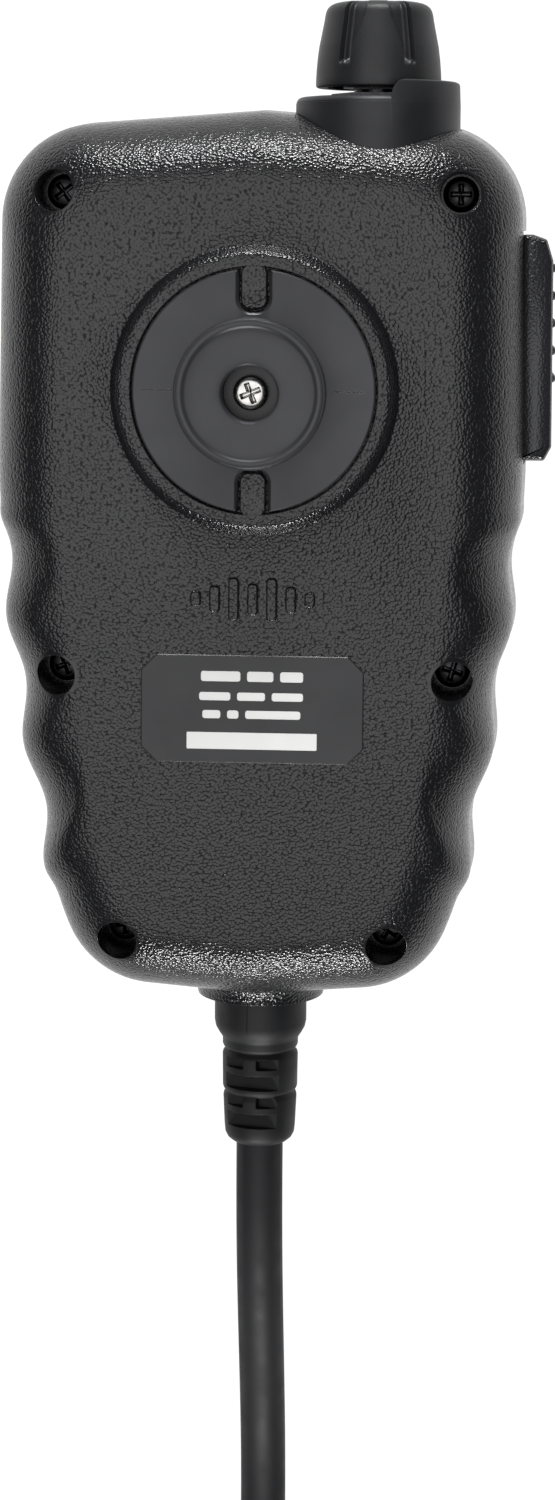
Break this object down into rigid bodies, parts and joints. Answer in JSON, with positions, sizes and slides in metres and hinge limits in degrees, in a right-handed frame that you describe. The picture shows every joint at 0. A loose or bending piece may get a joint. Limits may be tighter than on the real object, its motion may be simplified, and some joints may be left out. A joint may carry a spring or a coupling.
{
  "type": "hand microphone",
  "caption": "Hand microphone with a push-to-talk lever, volume knob, hang-up button, keypad and display, on a curly cord with a modular plug.",
  "frame": {"origin": "on the front face, straight below the axis of the hang-up button, with the microphone lying face down", "axes": "+Z out of the back towards the hang-up button, +Y towards the volume knob, +X towards the push-to-talk lever"},
  "size_m": [0.0896, 0.3414, 0.0426],
  "materials": {
    "shell": "pebble-grained dark moulded plastic",
    "smooth_black": "smooth satin dark plastic",
    "knob": "fine matt plastic",
    "lever": "fine-textured plastic",
    "rubber": "soft matt rubber",
    "keys": "moulded silicone keys",
    "cord": "matt cord jacket",
    "tie": "woven hook-and-loop strap",
    "label": "satin printed film",
    "screw_dark": "blackened steel",
    "screw_bright": "bright plated steel",
    "window": "smoked glossy plastic",
    "display": "display module",
    "board": "glass-fibre circuit board",
    "chip": "moulded chip packages",
    "nylon": "natural nylon",
    "wire": "wire insulation",
    "speaker_metal": "plated speaker frame",
    "magnet": "ferrite magnet",
    "cone": "pressed paper cone",
    "mesh": "acoustic mesh",
    "mic_metal": "bare aluminium can",
    "clear_plug": "clear moulded plug plastic",
    "gold": "gold-plated blades"
  },
  "bodies": {
    "case": {"rear_shell": "shell", "front_shell": "shell", "shell_gasket": "rubber", "case_screws": "screw_dark", "hangup_button": "smooth_black", "hangup_screw": "screw_bright", "hangup_nut": "screw_bright", "rating_label": "label", "knob_collar": "smooth_black", "pot_bushing": "screw_bright", "pot_nut": "screw_bright", "pot_seal": "rubber", "pot_body": "chip", "pot_pins": "screw_bright", "ptt_pin": "screw_bright", "ptt_seal": "rubber", "ptt_switch": "chip", "ptt_board": "board", "display_window": "window", "display_module": "display", "keypad_mat": "rubber", "speaker_mesh": "mesh", "speaker_frame": "speaker_metal", "speaker_cone": "cone", "speaker_magnet": "magnet", "mic_boot": "rubber", "mic_capsule": "mic_metal", "main_board": "board", "board_screws": "screw_bright", "board_chips": "chip", "cable_header": "nylon", "strain_relief": "rubber", "cord_crimp": "screw_bright", "cord_lead": "cord", "cord_wires": "wire", "cord_run": "cord", "curly_cord": "cord", "cord_tail": "cord", "cord_tie": "tie", "plug_boot": "cord", "plug_body": "clear_plug", "plug_contacts": "gold"},
    "knob": {"volume_knob": "knob", "pot_shaft": "screw_bright"},
    "lever": {"ptt_lever": "lever"},
    "plunger": {"ptt_plunger": "nylon", "ptt_pad": "rubber"},
    "latch": {"plug_latch": "clear_plug"},
    "button_up": {"key_up": "keys"},
    "button_down": {"key_down": "keys"},
    "button_menu": {"key_menu": "keys"},
    "button_scan": {"key_scan": "keys"},
    "button_mode": {"key_mode": "keys"},
    "button_light": {"key_light": "keys"}
  },
  "joints": [
    {"name": "volume_turn", "type": "hinge", "parent": "case", "child": "knob", "pos_m": [0.0141, 0.04, 0.0215], "axis": [0, 1, 0], "range_deg": [0, 300]},
    {"name": "ptt_press", "type": "hinge", "parent": "case", "child": "lever", "pos_m": [0.031, -0.006, 0.015], "axis": [0, 0, 1], "range_deg": [0, 4], "stiffness_Nm_per_rad": 0.5, "springref_deg": -2.86},
    {"name": "ptt_plunger_travel", "type": "slide", "parent": "case", "child": "plunger", "axis": [-1, 0, 0], "range_m": [0, 0.00095]},
    {"name": "latch_flex", "type": "hinge", "parent": "case", "child": "latch", "pos_m": [0.022, -0.2465, 0.0067], "axis": [-1, 0, 0], "range_deg": [0, 7], "stiffness_Nm_per_rad": 0.2, "springref_deg": -1.72},
    {"name": "press_up", "type": "slide", "parent": "case", "child": "button_up", "axis": [0, 0, 1], "range_m": [0, 0.0008], "stiffness_N_per_m": 900, "springref_m": -0.0008},
    {"name": "press_down", "type": "slide", "parent": "case", "child": "button_down", "axis": [0, 0, 1], "range_m": [0, 0.0008], "stiffness_N_per_m": 900, "springref_m": -0.0008},
    {"name": "press_menu", "type": "slide", "parent": "case", "child": "button_menu", "axis": [0, 0, 1], "range_m": [0, 0.0008], "stiffness_N_per_m": 900, "springref_m": -0.0008},
    {"name": "press_scan", "type": "slide", "parent": "case", "child": "button_scan", "axis": [0, 0, 1], "range_m": [0, 0.0008], "stiffness_N_per_m": 900, "springref_m": -0.0008},
    {"name": "press_mode", "type": "slide", "parent": "case", "child": "button_mode", "axis": [0, 0, 1], "range_m": [0, 0.0008], "stiffness_N_per_m": 900, "springref_m": -0.0008},
    {"name": "press_light", "type": "slide", "parent": "case", "child": "button_light", "axis": [0, 0, 1], "range_m": [0, 0.0008], "stiffness_N_per_m": 900, "springref_m": -0.0008}
  ],
  "couplings": [
    {"joint": "ptt_plunger_travel", "follows": "ptt_press", "m_per_rad": 0.013}
  ]
}
